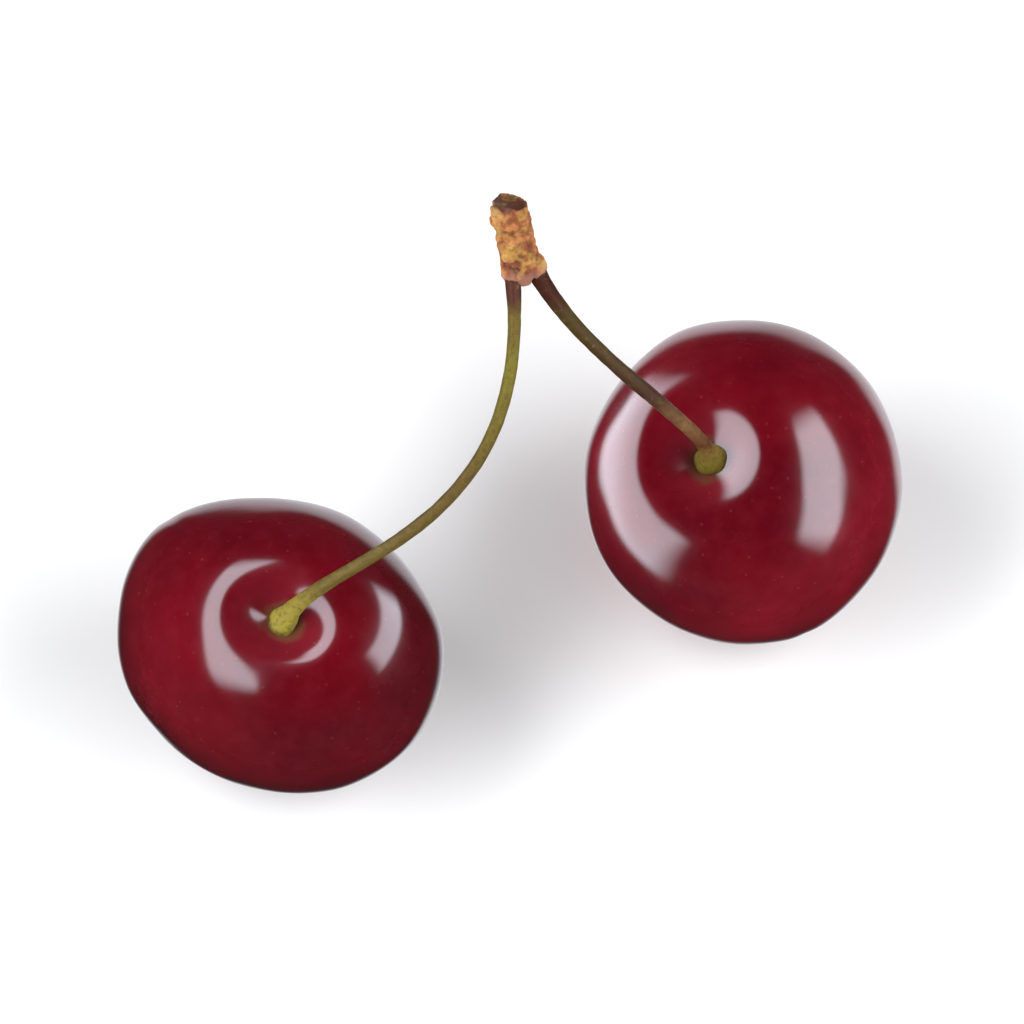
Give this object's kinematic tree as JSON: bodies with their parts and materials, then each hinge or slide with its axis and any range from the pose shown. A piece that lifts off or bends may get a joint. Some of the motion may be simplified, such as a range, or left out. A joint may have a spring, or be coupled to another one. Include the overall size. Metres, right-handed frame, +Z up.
{
  "type": "pair of cherries on stalks",
  "caption": "Dark red cherries on long green-brown stalks that grow from one short woody spur, resting on their undersides with the stalks arching up.",
  "frame": {"origin": "on the surface that both fruits rest on, under the middle of the pair's box", "axes": "+Z up, +X from the left fruit to the right fruit, -Y towards the side that the stalk hollows tip to"},
  "size_m": [0.0658, 0.0274, 0.0505],
  "materials": {
    "left_skin": "glossy, thin, very dark red fruit skin",
    "right_skin": "glossy, thin, dark red fruit skin with faint pale specks",
    "green_stalk": "smooth olive green stalk, red-brown where it meets the spur",
    "brown_stalk": "smooth red-brown stalk, greener at its swollen foot",
    "spur_bark": "rough, scaly, orange-tan bark"
  },
  "bodies": {
    "root": {"left_fruit": "left_skin", "right_fruit": "right_skin", "left_stalk": "green_stalk", "right_stalk": "brown_stalk", "spur": "spur_bark"}
  },
  "joints": []
}
